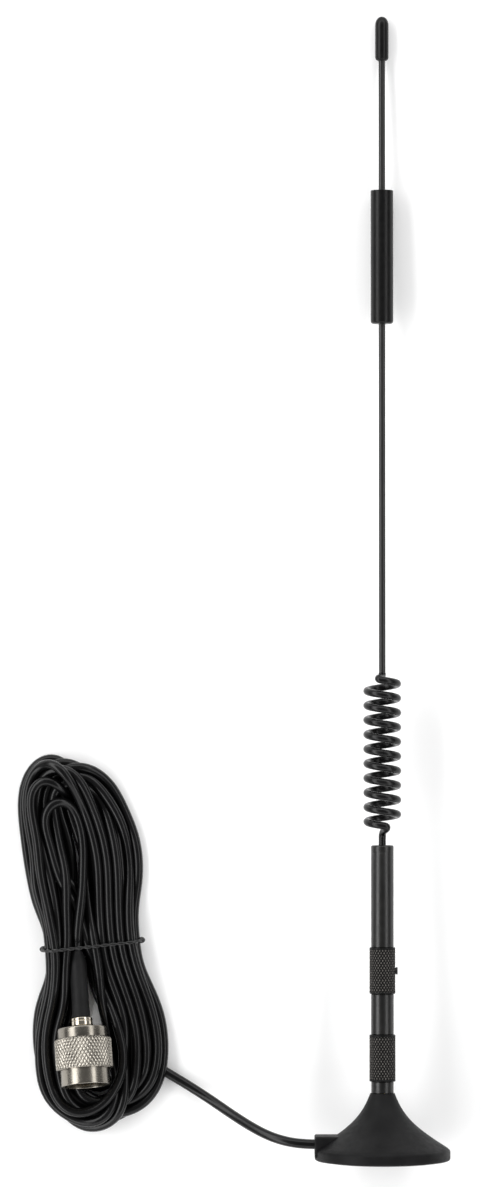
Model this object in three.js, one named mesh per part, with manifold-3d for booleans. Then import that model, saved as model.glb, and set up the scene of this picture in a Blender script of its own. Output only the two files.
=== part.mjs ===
// Magnetic-mount whip antenna lying on a table, with its tied cable hank and threaded plug.
// Millimetres. +Z is up from the table top (z = 0), the mast points along +Y.
// The antenna is drawn standing on its magnet in a frame of its own, then laid down:
// the rim of the base and the tip cap both touch the table.
import * as THREE from 'three';
import { mergeVertices } from 'three/addons/utils/BufferGeometryUtils.js';
import Module from 'manifold-3d';

const wasm = await Module();
wasm.setup();

// ---- driving dimensions ----
const GAP = 0.3;                 // between pieces that touch inside a turned group
const FINE = 0.1;                // between stacked pieces that show on the outside

const RIM_R = 18.0;              // base rim
const RIM_TOP = 3.0;             // height of the rim's straight side
const FLARE_TOP = 18.05;         // where the trumpet flare meets the neck
const NECK_R = 2.97;
const NECK_TOP = 21.1;
const LOWER_COLLAR_R = 3.46;
const LOWER_COLLAR_TOP = 33.6;
const MID_R = 3.02;
const MID_TOP = 44.3;
const UPPER_COLLAR_R = 3.44;
const UPPER_COLLAR_TOP = 56.7;
const MAST_R = 3.0;
const MAST_TOP = 83.75;
const SCREW_HEIGHT = 50.45;
const SCREW_R = 1.0;
const SCREW_REACH = 4.05;        // set screw's outer end, from the mast axis

const COIL_R = 4.06;             // mean radius of the coil
const COIL_WIRE_R = 0.98;
const COIL_TURNS = 10;
const COIL_START = 88.85;
const COIL_END = 127.69;
const ROD_R = 0.88;
const ROD_START = 129.6;
const SLEEVE_R = 3.0;
const SLEEVE_START = 222.3;
const SLEEVE_END = 257.8;
const TIP_R = 1.78;
const TIP_START = 292.4;
const TIP_END = 304.24;
const TIP_DOME_R = TIP_R - 0.12;
const TIP_DOME_RISE = 1.35;

const CABLE_R = 1.3;
const BOSS_TOP = 6.87;           // cable boss on the side of the base
const BOSS_HALF_WIDTH = 4.5;
const BOSS_FACE = -18.0;
const CABLE_HEIGHT = 4.55;       // cable axis above the magnet face

const HANK_BOTTOM = 0.1;
const HANK_TOP = 7.3;

const PLUG_TILT = 14;            // degrees, mouth raised
const PLUG_TURN = 4.2;           // degrees, away from straight back along -Y
const BOOT_R = 2.4;
const BOOT_LENGTH = 18.2;
const PLUG_NECK_R = 2.93;
const PLUG_NECK_END = 20.4;
const NUT_SHOULDER_R = 6.7;
const NUT_SHOULDER_END = 23.5;
const NUT_KNURL_R = 7.6;
const NUT_KNURL_END = 31.8;
const NUT_BAND_R = 6.55;
const NUT_END = 36.1;

// ---- materials ----
const paint = (color, roughness, metalness) =>
  new THREE.MeshStandardMaterial({ color, roughness, metalness });
const BLACK_SHELL = [0x17171a, 0.42, 0.0];
const BLACK_METAL = [0x141416, 0.38, 0.6];
const BLACK_WIRE = [0x1a1a1c, 0.35, 0.3];
const BRASS = [0xb08d4a, 0.35, 1.0];
const STEEL = [0x8a8c90, 0.4, 1.0];
const FERRITE = [0x3a3a3d, 0.7, 0.1];
const NICKEL = [0xc9c2b4, 0.22, 1.0];
const PVC = [0x1c1d1f, 0.35, 0.0];
const RUBBER = [0x232325, 0.6, 0.0];
const NYLON = [0xe8e6df, 0.5, 0.0];
const SEAL_RED = [0x8c2f22, 0.6, 0.0];

// ---- geometry helpers ----
// A solid of revolution about +Z. The profile is a list of [radius, height] that runs
// counter-clockwise and closes on itself, or starts and ends on the axis.
function turned(profile, segments = 20) {
  const points = profile.map(([r, h]) => new THREE.Vector2(r, h));
  const [first, last] = [points[0], points[points.length - 1]];
  if (first.x > 0 || last.x > 0) points.push(first.clone());
  return new THREE.LatheGeometry(points, segments).rotateX(Math.PI / 2);
}

// A straight ring or rod between two heights.
const ring = (inner, outer, low, high, segments) =>
  turned(inner > 0
    ? [[inner, low], [outer, low], [outer, high], [inner, high]]
    : [[0, low], [outer, low], [outer, high], [0, high]], segments);

// A bar or ring whose outer edges have small chamfers.
const chamfered = (inner, outer, low, high, c, segments) =>
  turned([[inner, low], [outer - c, low], [outer, low + c], [outer, high - c],
    [outer - c, high], [inner, high]], segments);

// A round wire or cable along a curve.
function swept(curve, radius, steps, sides = 8) {
  const section = new THREE.Shape();
  for (let i = 0; i < sides; i++) {
    const a = (2 * Math.PI * i) / sides;
    const [x, y] = [radius * Math.cos(a), radius * Math.sin(a)];
    if (i === 0) section.moveTo(x, y);
    else section.lineTo(x, y);
  }
  section.closePath();
  return new THREE.ExtrudeGeometry(section, { steps, extrudePath: curve, curveSegments: 1 });
}

function toSolid(geometry) {
  const bare = geometry.clone();
  bare.deleteAttribute('normal');
  bare.deleteAttribute('uv');
  const merged = mergeVertices(bare, 1e-5);
  const indices = merged.index.array;
  const kept = [];
  for (let i = 0; i < indices.length; i += 3) {
    const [a, b, c] = indices.slice(i, i + 3);
    if (a !== b && b !== c && a !== c) kept.push(a, b, c);
  }
  return new wasm.Manifold(new wasm.Mesh({
    numProp: 3,
    vertProperties: new Float32Array(merged.attributes.position.array),
    triVerts: new Uint32Array(kept),
  }));
}

function toGeometry(solid) {
  const mesh = solid.getMesh();
  const geometry = new THREE.BufferGeometry();
  geometry.setAttribute('position', new THREE.BufferAttribute(new Float32Array(mesh.vertProperties), 3));
  geometry.setIndex(new THREE.BufferAttribute(new Uint32Array(mesh.triVerts), 1));
  geometry.computeVertexNormals();
  return geometry;
}

const cut = (body, ...tools) =>
  toGeometry(tools.reduce((left, tool) => left.subtract(toSolid(tool)), toSolid(body)));

// A rod along X between two x values, at a height on the mast axis.
const crossRod = (radius, from, to, height, segments = 16) =>
  ring(0, radius, from, to, segments).rotateY(Math.PI / 2).translate(0, 0, height);

function add(parent, name, geometry, look) {
  const mesh = new THREE.Mesh(geometry, paint(...look));
  mesh.name = name;
  parent.add(mesh);
}

// ---- base: flared shell, magnet and feed ----
// The trumpet flare is one Bezier from the rim to the neck, as [radius, height].
const FLARE = [[17.9, 3.2], [8.62, 9.0], [5.64, 11.75], [3.25, FLARE_TOP]];

const flareProfile = (steps = 8) =>
  new THREE.CubicBezierCurve(...FLARE.map(([r, h]) => new THREE.Vector2(r, h)))
    .getPoints(steps).map((p) => [p.x, p.y]);

function baseShell() {
  const outer = turned([[0, 0.3], [RIM_R - 0.5, 0.3], [RIM_R - 0.15, 0.45], [RIM_R, 0.8],
    [RIM_R, RIM_TOP], ...flareProfile(), [0, FLARE_TOP]], 40);
  const boss = new THREE.BoxGeometry(14, 2 * BOSS_HALF_WIDTH, BOSS_TOP - 1.2)
    .translate(BOSS_FACE + 7, 0, (BOSS_TOP + 1.2) / 2);
  const cavity = turned([[0, 0], [15.7, 0], [15.7, 2.7], [14.0, 4.2], [9.4, 4.6], [9.0, 6.4],
    [1.95, 7.4], [1.95, 20], [0, 20]]);
  const channel = crossRod(1.9, BOSS_FACE - 1, -8.5, CABLE_HEIGHT);
  const body = toSolid(outer).add(toSolid(boss));
  return toGeometry(body.subtract(toSolid(cavity)).subtract(toSolid(channel)));
}

function addBase(antenna) {
  add(antenna, 'base_shell', baseShell(), BLACK_SHELL);
  add(antenna, 'base_pad', ring(0, 15.4, 0, 0.5, 24), RUBBER);
  add(antenna, 'magnet_ring', ring(3.7, 13.6, 0.8, 2.1, 24), FERRITE);
  add(antenna, 'steel_pot', turned([[2.75, 2.4], [13.9, 2.4], [13.9, 0.8], [15.4, 0.8],
    [15.4, 2.3], [14.6, 3.1], [2.75, 3.1]], 24), STEEL);
  add(antenna, 'stud_insulator', ring(1.9, 2.45, 2.5, 4.0, 24), NYLON);
  add(antenna, 'mast_stud', turned([[0, 0.8], [3.3, 0.8], [3.3, 2.2], [1.6, 2.2], [1.6, 21.2],
    [2.2, 21.2], [2.2, 29.6], [1.8, 30.0], [0, 30.0]]), BRASS);
  add(antenna, 'neck_bush', chamfered(1.9, NECK_R, FLARE_TOP + FINE, NECK_TOP - FINE, 0.15),
    BLACK_METAL);
  add(antenna, 'feed_tab', new THREE.BoxGeometry(4.6, 1.6, 0.4).translate(-4.2, 0, 5.3), BRASS);
  add(antenna, 'cable_grommet', ring(1.5, 1.85, -17.95, -15.7, 20)
    .rotateY(Math.PI / 2).translate(0, 0, CABLE_HEIGHT), RUBBER);
  add(antenna, 'coax_tail', crossRod(CABLE_R, -17.9, -6.9, CABLE_HEIGHT, 12), PVC);
}

// ---- mast foot: captive knurled nut, tube and clamping collar ----
function addMastFoot(antenna) {
  add(antenna, 'lower_collar', turned([[2.3, NECK_TOP + FINE], [LOWER_COLLAR_R - 0.3, NECK_TOP + FINE],
    [LOWER_COLLAR_R, NECK_TOP + FINE + 0.3], [LOWER_COLLAR_R, LOWER_COLLAR_TOP - 0.3],
    [LOWER_COLLAR_R - 0.3, LOWER_COLLAR_TOP], [2.0, LOWER_COLLAR_TOP], [2.0, 32.6],
    [2.55, 32.6], [2.55, 30.4], [2.3, 30.2]]), BLACK_METAL);
  add(antenna, 'mid_tube', turned([[0, 30.3], [1.2, 30.3], [1.2, 31.0], [2.4, 31.0], [2.4, 32.3],
    [1.85, 32.3], [1.85, LOWER_COLLAR_TOP + FINE], [MID_R - 0.15, LOWER_COLLAR_TOP + FINE],
    [MID_R, LOWER_COLLAR_TOP + FINE + 0.15], [MID_R, MID_TOP - 0.15], [MID_R - 0.15, MID_TOP],
    [2.35, MID_TOP], [2.35, 47.0], [0, 47.0]]), BLACK_METAL);
  const collar = chamfered(2.45, UPPER_COLLAR_R, MID_TOP + FINE, UPPER_COLLAR_TOP, 0.3);
  const hole = crossRod(SCREW_R + 0.06, 1.5, 6, SCREW_HEIGHT);
  add(antenna, 'upper_collar', cut(collar, hole), BLACK_METAL);
  const screw = ring(0, SCREW_R, 2.42, SCREW_REACH, 16);
  const socket = ring(0, 0.5, SCREW_REACH - 0.9, SCREW_REACH + 1, 6);
  const bored = cut(screw, socket);
  add(antenna, 'set_screw', bored.rotateY(Math.PI / 2).translate(0, 0, SCREW_HEIGHT), STEEL);
}

// ---- upper mast, phasing coil and whip ----
// The left-handed coil: a leg up the mast's axis, out to the front, ten turns, and back to the
// axis where the rod begins.
const COIL_OVERRUN = 0.25;       // angle that the turns run on past the front at each end
const LOWER_LEG = [[0, 0, 78], [0, 0, 82], [0, 0, 85.6], [0.1, -0.5, 87.0], [0.6, -1.9, 87.8],
  [1.0, -3.3, 88.2]];
const UPPER_LEG = [[-1.0, -3.3, 128.1], [-0.6, -1.9, 128.15], [-0.2, -0.7, 128.3], [0, -0.1, 128.7],
  [0, 0, 129.0], [0, 0, 129.3]];

function coilPath(pointsPerTurn = 12) {
  const asPoints = (list) => list.map((p) => new THREE.Vector3(...p));
  const points = asPoints(LOWER_LEG);
  const sweep = 2 * Math.PI * COIL_TURNS + 2 * COIL_OVERRUN;
  const count = COIL_TURNS * pointsPerTurn;
  for (let i = 0; i <= count; i++) {
    const angle = COIL_OVERRUN - Math.PI / 2 - (sweep * i) / count;
    const height = THREE.MathUtils.lerp(COIL_START, COIL_END, i / count);
    points.push(new THREE.Vector3(COIL_R * Math.cos(angle), COIL_R * Math.sin(angle), height));
  }
  const path = new THREE.CatmullRomCurve3([...points, ...asPoints(UPPER_LEG)], false, 'centripetal');
  path.arcLengthDivisions = 3000;
  return path;
}

function addUpperMast(antenna) {
  add(antenna, 'mast_core', turned([[0, 47.4], [2.1, 47.4], [2.3, 47.6], [2.3, 56.5], [2.2, 56.6],
    [2.2, MAST_TOP - 1.2], [1.1, MAST_TOP - 1.2], [1.1, 77.0], [0, 77.0]]), BRASS);
  add(antenna, 'upper_mast_tube', turned([[2.35, UPPER_COLLAR_TOP + FINE],
    [MAST_R - 0.15, UPPER_COLLAR_TOP + FINE], [MAST_R, UPPER_COLLAR_TOP + FINE + 0.15],
    [MAST_R, MAST_TOP - 0.55], [MAST_R - 0.16, MAST_TOP - 0.16], [MAST_R - 0.55, MAST_TOP],
    [1.1, MAST_TOP], [1.1, MAST_TOP - 0.9], [2.35, MAST_TOP - 0.9]]), BLACK_METAL);
  add(antenna, 'phasing_coil', swept(coilPath(), COIL_WIRE_R, 95), BLACK_WIRE);
}

function addWhip(antenna) {
  add(antenna, 'main_rod', chamfered(0, ROD_R, ROD_START, SLEEVE_START + 7, 0.12, 16), BLACK_METAL);
  add(antenna, 'upper_sleeve', turned([[1.05, SLEEVE_START], [SLEEVE_R - 0.5, SLEEVE_START],
    [SLEEVE_R - 0.15, SLEEVE_START + 0.15], [SLEEVE_R, SLEEVE_START + 0.5],
    [SLEEVE_R, SLEEVE_END - 0.1], [SLEEVE_R - 0.1, SLEEVE_END], [2.45, SLEEVE_END],
    [2.45, SLEEVE_START + 0.9], [1.05, SLEEVE_START + 0.9]]), BLACK_SHELL);
  add(antenna, 'sleeve_core', turned([[1.05, SLEEVE_START + 1.1], [2.35, SLEEVE_START + 1.1],
    [2.35, SLEEVE_END - 0.15], [1.0, SLEEVE_END - 0.15], [1.0, SLEEVE_END - 7], [0, SLEEVE_END - 7],
    [0, SLEEVE_START + 7.3], [1.05, SLEEVE_START + 7.3]], 16), NYLON);
  add(antenna, 'top_rod', chamfered(0, ROD_R - 0.01, SLEEVE_END - 6.7, TIP_START + 6, 0.12, 16),
    BLACK_METAL);
  add(antenna, 'tip_cap', tipCap(), BLACK_SHELL);
}

function tipCap(domeSteps = 4) {
  const profile = [[1.0, TIP_START], [TIP_R - 0.45, TIP_START], [TIP_R - 0.1, TIP_START + 0.2],
    [TIP_R, TIP_START + 0.6]];
  for (let i = 0; i < domeSteps; i++) {
    const a = (Math.PI / 2) * (i / domeSteps);
    profile.push([TIP_DOME_R * Math.cos(a), TIP_END - TIP_DOME_RISE * (1 - Math.sin(a))]);
  }
  return turned([[0, TIP_START + 6.4], [1.0, TIP_START + 6.4], ...profile, [0, TIP_END]], 24);
}

// ---- laying the antenna down ----
// The axis slopes until the tip cap touches the same plane as the rim.
const CONTACT_RIM = [RIM_R, RIM_TOP];
const CONTACT_TIP = [TIP_DOME_R, TIP_END - TIP_DOME_RISE];
const SLOPE = Math.atan((CONTACT_RIM[0] - CONTACT_TIP[0]) / (CONTACT_TIP[1] - CONTACT_RIM[1]));

function layDown(antenna) {
  antenna.rotation.x = -(Math.PI / 2 + SLOPE);
  antenna.updateMatrixWorld(true);
  const box = new THREE.Box3().setFromObject(antenna, true);
  const centre = box.getCenter(new THREE.Vector3());
  antenna.position.set(-centre.x, -centre.y, -box.min.z);
  antenna.updateMatrixWorld(true);
}

// ---- where the plug lies: its rear end is in the hank's waist, and its mouth is raised ----
const PLUG_START = new THREE.Vector3(-81.3, -97.0, 5.2);

function plugFrame() {
  const [tilt, turn] = [PLUG_TILT, PLUG_TURN].map(THREE.MathUtils.degToRad);
  const direction = new THREE.Vector3(Math.sin(turn) * Math.cos(tilt),
    -Math.cos(turn) * Math.cos(tilt), Math.sin(tilt));
  const plug = new THREE.Group();
  plug.position.copy(PLUG_START);
  plug.quaternion.setFromUnitVectors(new THREE.Vector3(0, 0, 1), direction);
  plug.updateMatrix();
  return plug;
}

// The room that the plug takes in the hank: a round channel that is open upwards.
function plugRoom() {
  const { matrix } = plugFrame();
  const channel = (radius, from, to) => [
    ring(0, radius + GAP, from, to, 24).applyMatrix4(matrix),
    new THREE.BoxGeometry(2 * (radius + GAP) - 0.2, 12, to - from - 0.1)
      .translate(0, 6, (from + to) / 2).applyMatrix4(matrix),
  ];
  return [...channel(PLUG_NECK_R, -GAP, PLUG_NECK_END), ...channel(NUT_KNURL_R, PLUG_NECK_END - 0.2, 40)];
}

// ---- cable: lead, tied hank and the wire tie ----
// The lead's route after the boss, down to the table and along it to the hank: x, the way
// along the mast from the exit, and height.
const LEAD_ROUTE = [
  [-21.2, 0.0, 17.9], [-24.4, 0.35, 17.3], [-27.6, 1.0, 16.2], [-30.8, 2.0, 14.4],
  [-34.0, 3.4, 12.1], [-37.2, 5.0, 9.5], [-40.6, 6.9, 6.9], [-44.2, 9.1, 4.6],
  [-48.0, 11.4, 2.8], [-52.0, 13.8, 1.8], [-57.2, 16.9, 1.4],
];

const leadPoints = ([x, y, z]) => [new THREE.Vector3(x, y, z),
  ...LEAD_ROUTE.map(([px, dy, pz]) => new THREE.Vector3(px, y + dy, pz))];

// The hank's outline in plan, anticlockwise from its lower end.
const HANK_OUTLINE = [
  [-76.6, 5.2], [-67.6, 7.7], [-59.9, 15.0], [-57.7, 24.0], [-58.4, 35.0], [-61.5, 47.5],
  [-64.6, 56.0], [-65.2, 68.0], [-65.3, 79.0], [-67.7, 89.5], [-74.5, 101.5], [-85.5, 107.8],
  [-94.5, 103.0], [-97.6, 93.0], [-95.4, 81.5], [-93.3, 68.0], [-91.2, 54.5], [-92.9, 38.4],
  [-94.3, 27.0], [-92.2, 16.8], [-85.6, 7.9],
];
const HANK_SHIFT = [0.2, -151.0]; // from the magnet face's plane to the middle of the antenna
const TIE_MIDDLE = [-77.85, 55.6];
const TIE_TURN = 5;              // degrees off square to the hank
const WAIST_HALF_WIDTH = 13.4;
const TIE_BAND = 1.2;            // width and thickness of the tie's solid

function roundedBox(halfX, halfY, radius, target = new THREE.Shape()) {
  const [x, y] = [halfX - radius, halfY - radius];
  target.absarc(x, y, radius, 0, Math.PI / 2);
  target.absarc(-x, y, radius, Math.PI / 2, Math.PI);
  target.absarc(-x, -y, radius, Math.PI, 1.5 * Math.PI);
  target.absarc(x, -y, radius, 1.5 * Math.PI, 2 * Math.PI);
  target.closePath();
  return target;
}

const placeAtWaist = (geometry, height) => geometry.rotateX(Math.PI / 2)
  .rotateZ(THREE.MathUtils.degToRad(TIE_TURN))
  .translate(TIE_MIDDLE[0] + HANK_SHIFT[0], TIE_MIDDLE[1] + HANK_SHIFT[1], height);

function hankSolid(bevel = 1.4, outlinePoints = 48) {
  const curve = new THREE.CatmullRomCurve3(HANK_OUTLINE.map(([x, y]) =>
    new THREE.Vector3(x + HANK_SHIFT[0], y + HANK_SHIFT[1], 0)), true, 'centripetal');
  const outline = curve.getSpacedPoints(outlinePoints).slice(0, outlinePoints);
  const shape = new THREE.Shape(outline.map((p) => new THREE.Vector2(p.x, p.y)));
  const slab = new THREE.ExtrudeGeometry(shape, {
    depth: HANK_TOP - HANK_BOTTOM - 2 * bevel, bevelThickness: bevel, bevelSize: bevel,
    bevelOffset: -bevel, bevelSegments: 2,
  }).translate(0, 0, HANK_BOTTOM + bevel);
  const groove = placeAtWaist(new THREE.BoxGeometry(40, 3.2, TIE_BAND + 2 * GAP), 0);
  return cut(slab, groove, ...plugRoom());
}

function tieBand() {
  const inner = [WAIST_HALF_WIDTH + GAP, (HANK_TOP + GAP - TIE_BAND) / 2];
  const band = roundedBox(inner[0] + TIE_BAND, inner[1] + TIE_BAND, 2.2);
  band.holes.push(roundedBox(inner[0], inner[1], 1, new THREE.Path()));
  const solid = new THREE.ExtrudeGeometry(band, { depth: TIE_BAND, bevelEnabled: false, curveSegments: 3 })
    .translate(0, 0, -TIE_BAND / 2);
  return placeAtWaist(solid, inner[1] + TIE_BAND + HANK_BOTTOM);
}

function addCable(group, exit) {
  const lead = new THREE.CatmullRomCurve3(leadPoints(exit), false, 'centripetal');
  add(group, 'cable_lead', swept(lead, CABLE_R, 16), PVC);
  add(group, 'cable_hank', hankSolid(), PVC);
  add(group, 'hank_tie', tieBand(), RUBBER);
}

// ---- plug: boot, ferrule, body and the free-turning coupling nut ----
function addPlug(group) {
  const plug = plugFrame();
  group.add(plug);

  add(plug, 'cable_boot', chamfered(0, BOOT_R, 0, BOOT_LENGTH - GAP, 0.3, 20), RUBBER);
  add(plug, 'crimp_ferrule', chamfered(0, PLUG_NECK_R, BOOT_LENGTH, PLUG_NECK_END - GAP, 0.15, 24),
    NICKEL);
  add(plug, 'plug_body', turned([[1.6, PLUG_NECK_END], [4.9, PLUG_NECK_END],
    [4.9, NUT_SHOULDER_END - 1.6], [5.9, NUT_SHOULDER_END - 1.3], [5.9, NUT_SHOULDER_END + 1.2],
    [4.6, NUT_SHOULDER_END + 1.2], [4.1, NUT_SHOULDER_END + 1.8], [4.1, NUT_END - 2.6],
    [3.5, NUT_END - 2.6], [3.5, NUT_KNURL_END - 5.6], [1.6, NUT_KNURL_END - 5.6]]), NICKEL);
  add(plug, 'coupling_nut', turned([[5.2, PLUG_NECK_END + 0.2], [NUT_SHOULDER_R - 0.5, PLUG_NECK_END + 0.2],
    [NUT_SHOULDER_R, PLUG_NECK_END + 0.7], [NUT_SHOULDER_R, NUT_SHOULDER_END],
    [NUT_KNURL_R - 0.3, NUT_SHOULDER_END], [NUT_KNURL_R, NUT_SHOULDER_END + 0.3],
    [NUT_KNURL_R, NUT_KNURL_END - 0.3], [NUT_KNURL_R - 0.3, NUT_KNURL_END],
    [NUT_BAND_R, NUT_KNURL_END], [NUT_BAND_R, NUT_END - 0.3], [NUT_BAND_R - 0.3, NUT_END],
    [5.55, NUT_END], [5.55, NUT_SHOULDER_END + 2.0], [6.1, NUT_SHOULDER_END + 2.0],
    [6.1, NUT_SHOULDER_END - 1.7], [5.2, NUT_SHOULDER_END - 1.7]], 24), NICKEL);
  add(plug, 'plug_gasket', ring(4.75, 5.4, NUT_SHOULDER_END + 1.5, NUT_SHOULDER_END + 2.7, 24), SEAL_RED);
  add(plug, 'plug_insulator', ring(0.75, 3.2, NUT_KNURL_END - 5.3, NUT_END - 6.2, 24), NYLON);
  add(plug, 'centre_pin', chamfered(0, 0.65, NUT_KNURL_END - 5.2, NUT_END - 1.6, 0.3, 12), BRASS);
}

// ---- the whole object ----
const group = new THREE.Group();
const antenna = new THREE.Group();
group.add(antenna);
addBase(antenna);
addMastFoot(antenna);
addUpperMast(antenna);
addWhip(antenna);
layDown(antenna);
const exit = antenna.localToWorld(new THREE.Vector3(BOSS_FACE - GAP, 0, CABLE_HEIGHT));
addCable(group, exit.toArray());
addPlug(group);

export default group;
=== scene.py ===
"""Looks of a magnetic-mount whip antenna with its tied cable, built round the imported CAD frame.
Sizes are in millimetres until a piece is made; Blender's own units are metres."""
import math

import bmesh
import bpy
import numpy as np
from mathutils import Matrix, Vector


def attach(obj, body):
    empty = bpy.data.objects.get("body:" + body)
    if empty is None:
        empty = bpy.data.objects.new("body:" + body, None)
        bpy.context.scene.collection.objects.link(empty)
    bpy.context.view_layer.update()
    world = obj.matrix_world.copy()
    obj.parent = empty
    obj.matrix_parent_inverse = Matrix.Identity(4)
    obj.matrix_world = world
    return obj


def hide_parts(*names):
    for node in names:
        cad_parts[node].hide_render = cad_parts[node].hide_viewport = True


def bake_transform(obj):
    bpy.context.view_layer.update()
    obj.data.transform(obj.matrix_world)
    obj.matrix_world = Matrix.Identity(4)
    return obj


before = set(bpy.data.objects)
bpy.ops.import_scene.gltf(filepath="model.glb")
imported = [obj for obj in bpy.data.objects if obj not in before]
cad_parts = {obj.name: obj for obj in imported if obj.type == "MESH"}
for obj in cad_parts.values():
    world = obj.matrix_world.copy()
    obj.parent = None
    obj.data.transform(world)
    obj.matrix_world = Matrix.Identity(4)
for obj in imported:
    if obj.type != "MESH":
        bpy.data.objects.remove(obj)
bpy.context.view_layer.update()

MM = 0.001
TAU = 2 * math.pi


# ---- where things are ----
RIM_R, RIM_TOP = 18.0, 3.0       # the base's rim, in millimetres from the magnet face
TIP_EDGE = (1.66, 302.89)        # radius and height of the tip cap's dome edge, which touches the table
SLOPE = math.atan((RIM_R - TIP_EDGE[0]) / (TIP_EDGE[1] - RIM_TOP))
# The middle of the magnet face. The rim and the tip cap touch the table, and y is 0 at half the length.
MAST_FOOT = Vector((0.0, -151.47576, 18.13656))
LAID = Matrix.Translation(MAST_FOOT) @ Matrix.Rotation(-(math.pi / 2 + SLOPE), 4, "X")

PLUG_START = Vector((-81.3, -97.0, 5.2))
PLUG_TILT, PLUG_TURN = math.radians(14), math.radians(4.2)
PLUG_AXIS = Vector((math.sin(PLUG_TURN) * math.cos(PLUG_TILT),
                    -math.cos(PLUG_TURN) * math.cos(PLUG_TILT), math.sin(PLUG_TILT)))
PLUG_ROTATION = Vector((0, 0, 1)).rotation_difference(PLUG_AXIS)
PLUG = Matrix.Translation(PLUG_START) @ PLUG_ROTATION.to_matrix().to_4x4()

CABLE_R = 1.3
CABLE_D = 2 * CABLE_R
CABLE_HEIGHT = 4.55              # cable axis above the magnet face
BOSS_FACE = -18.0                # where the boss's outer face is, across the mast
EXIT = LAID @ Vector((BOSS_FACE - 0.3, 0, CABLE_HEIGHT))


# ---- camera ----
CAMERA_PLACE = (-0.0375, 0.0422, 1.3375)          # metres, looking down on the table
CAMERA_LEAN = math.radians(-1.87)
SENSOR, LENS = 36.0, 151.643
camera_data = bpy.data.cameras.new("camera")
camera_data.sensor_width = SENSOR
camera_data.lens = LENS
camera_data.clip_start, camera_data.clip_end = 0.1, 10
camera = bpy.data.objects.new("camera", camera_data)
camera.location = CAMERA_PLACE
camera.rotation_euler = (CAMERA_LEAN, 0, 0)
bpy.context.scene.collection.objects.link(camera)
bpy.context.scene.camera = camera


# ---- lines ----
def even(line, count):
    """The same line with count points an equal way apart."""
    step = np.r_[0, np.cumsum(np.linalg.norm(np.diff(line, axis=0), axis=1))]
    at = np.linspace(0, step[-1], count)
    return np.stack([np.interp(at, step, line[:, k]) for k in range(line.shape[1])], axis=1)


def length_of(line):
    return float(np.linalg.norm(np.diff(line, axis=0), axis=1).sum())


def headings(line):
    """Which way the line runs at each of its points, as unit vectors."""
    ahead = np.gradient(line, axis=0)
    return ahead / np.linalg.norm(ahead, axis=1)[:, None]


def spline(points, per=12, closed=False):
    """A Catmull-Rom line through points, with per points from each to the next."""
    p = np.array(points, float)
    if closed:
        p = np.vstack([p[-1:], p, p[:2]])
    else:
        p = np.vstack([2 * p[0] - p[1], p, 2 * p[-1] - p[-2]])
    f = np.linspace(0, 1, per, endpoint=False)[:, None]
    out = [0.5 * (2 * b + (c - a) * f + (2 * a - 5 * b + 4 * c - d) * f**2 + (3 * b - a - 3 * c + d) * f**3)
           for a, b, c, d in zip(p, p[1:], p[2:], p[3:])]
    return np.vstack(out if closed else out + [p[-2:-1]])


def eased(x):
    """0 below 0, 1 above 1 and a smooth step between."""
    x = np.clip(x, 0, 1)
    return x * x * (3 - 2 * x)


def keyed(s, keys):
    """Smooth values round a closed line from (place, value) keys, with places from 0 to 1."""
    place, value = np.array(keys, float).T
    place, value = np.r_[place - 1, place, place + 1], np.r_[value, value, value]
    i = np.searchsorted(place, s, "right") - 1
    f = eased((s - place[i]) / (place[i + 1] - place[i]))
    return value[i] * (1 - f) + value[i + 1] * f


# ---- the cable: its lead, the hank's turns and the way back to the plug ----
LEAD_ROUTE = [(-21.2, 0.0, 17.9), (-24.4, 0.35, 17.3), (-27.6, 1.0, 16.2), (-30.8, 2.0, 14.4),
              (-34.0, 3.4, 12.1), (-37.2, 5.0, 9.5), (-40.6, 6.9, 6.9), (-44.2, 9.1, 4.6),
              (-48.0, 11.4, 2.8), (-52.0, 13.8, 1.8), (-57.2, 16.9, 1.4)]
HANK_OUTLINE = [(-76.6, 5.2), (-67.6, 7.7), (-59.9, 15.0), (-57.7, 24.0), (-58.4, 35.0), (-61.5, 47.5),
                (-64.6, 56.0), (-65.2, 68.0), (-65.3, 79.0), (-67.7, 89.5), (-74.5, 101.5),
                (-85.0, 109.0), (-93.2, 104.4), (-96.0, 94.0), (-93.9, 81.5), (-91.9, 68.0),
                (-90.3, 54.5), (-91.2, 38.4), (-92.6, 27.0), (-90.6, 16.8), (-84.6, 7.9)]
HANK_SHIFT = np.array([0.2, -151.0, 0])
COLUMN, LAYER = 2.65, 2.25       # between strands side by side, and between those on each other
# Each turn's place in the bundle, as columns in from the outline and layers up from the table:
# on the right of the hank, and then over the top and down the left. Later turns lie on earlier ones.
RIGHT_SLOTS = [(4, 0), (3, 0), (2, 0), (1, 0), (0, 0), (0.5, 1), (1.5, 1), (2.5, 1), (3.5, 1), (4.5, 1)]
LEFT_SLOTS = [(0, 0), (1, 0), (2, 0), (0.5, 1), (1.5, 1), (2.5, 1), (2, 2), (1, 2), (0, 2), (0.5, 3)]
# From the lead, under the right side and up through the waist, a short turn down again on the left
# side, and inside the lower loop.
FIRST_PASS = [(-60.8, 23.2, 1.3), (-65.5, 27.0, 1.3), (-69.6, 31.5, 1.3), (-72.8, 37.5, 1.3),
              (-75.2, 44.5, 1.3), (-76.8, 51.0, 1.9), (-78.6, 56.5, 2.5), (-80.4, 61.5, 2.6),
              (-81.8, 67.0, 3.4), (-82.8, 72.0, 4.4), (-85.2, 76.2, 5.0), (-88.6, 76.6, 4.6),
              (-90.8, 72.6, 3.4), (-90.8, 67.0, 2.4), (-89.2, 60.5, 2.5), (-87.4, 54.0, 2.5),
              (-86.4, 46.0, 2.2), (-86.0, 37.0, 1.6), (-85.4, 29.0, 1.3), (-83.8, 21.5, 1.3),
              (-79.6, 16.6, 1.3), (-74.6, 16.6, 1.3)]
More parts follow.
